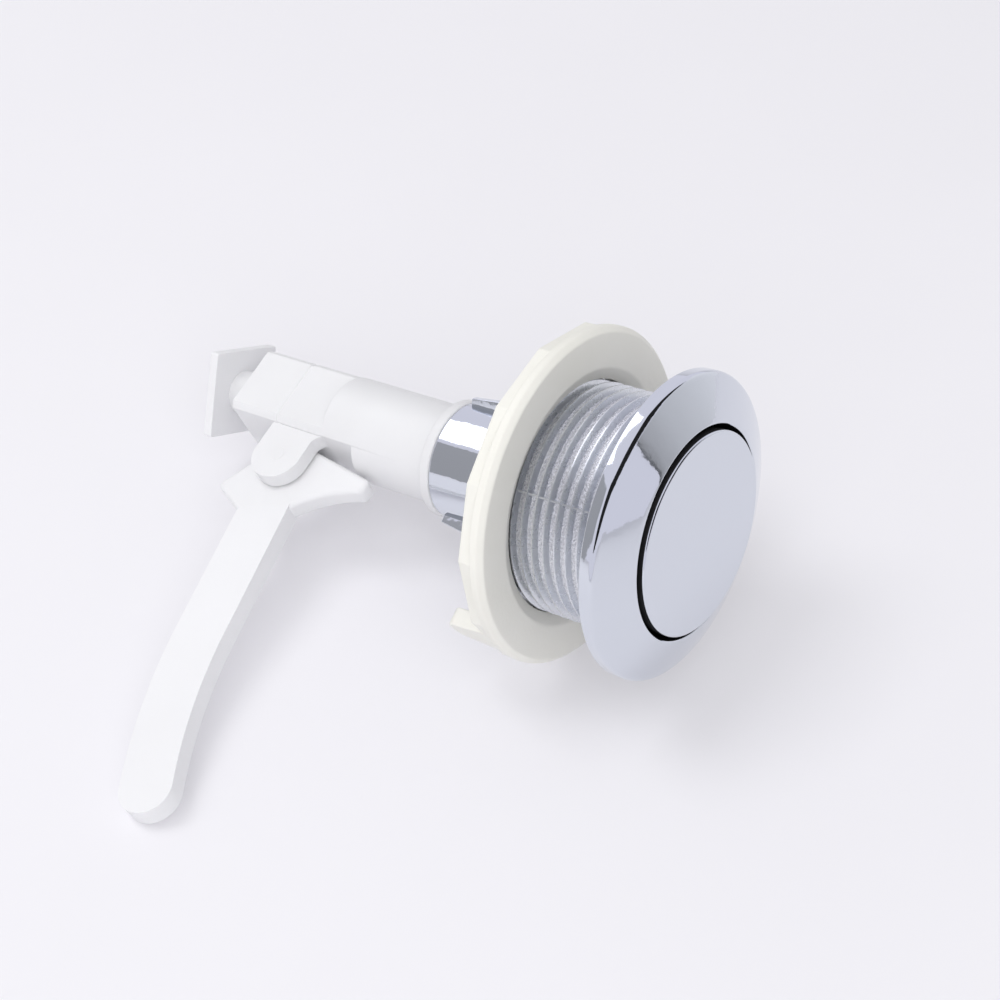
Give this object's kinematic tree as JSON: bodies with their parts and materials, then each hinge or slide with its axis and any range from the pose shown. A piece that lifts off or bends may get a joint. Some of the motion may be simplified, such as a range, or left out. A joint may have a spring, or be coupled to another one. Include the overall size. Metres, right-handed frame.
{
  "type": "top-mount push button",
  "caption": "Chrome push button with a threaded barrel and lock nut for a cistern lid, a sliding white stem, a square foot and a folding side lever.",
  "frame": {"origin": "centre of the bezel's underside, where it sits on the lid", "axes": "+Z along the barrel out of the button's face, +X towards the side lever, the lever's pivot along Y"},
  "size_m": [0.1028, 0.0548, 0.0957],
  "materials": {
    "chrome": "bright chrome plate on moulded plastic",
    "natural_plastic": "natural translucent white, satin",
    "cream_plastic": "cream, satin",
    "spring_steel": "drawn stainless wire"
  },
  "bodies": {
    "housing": {"bezel_body": "chrome", "return_spring": "spring_steel"},
    "plunger": {"push_button": "chrome", "plunger_stem": "natural_plastic", "pivot_pin": "natural_plastic", "push_rod": "natural_plastic"},
    "lever": {"lever_arm": "natural_plastic"},
    "nut": {"lock_nut": "cream_plastic"}
  },
  "joints": [
    {"name": "button_press", "type": "slide", "parent": "housing", "child": "plunger", "axis": [0, 0, -1], "range_m": [0, 0.005], "stiffness_N_per_m": 600, "springref_m": -0.004, "deforming": ["return_spring"]},
    {"name": "lever_swing", "type": "hinge", "parent": "plunger", "child": "lever", "pos_m": [0.0118, 0, -0.0687], "axis": [0, 1, 0], "range_deg": [0, 60]},
    {"name": "nut_turn", "type": "hinge", "parent": "housing", "child": "nut", "pos_m": [0, 0, -0.0174], "axis": [0, 0, 1], "continuous": true}
  ]
}
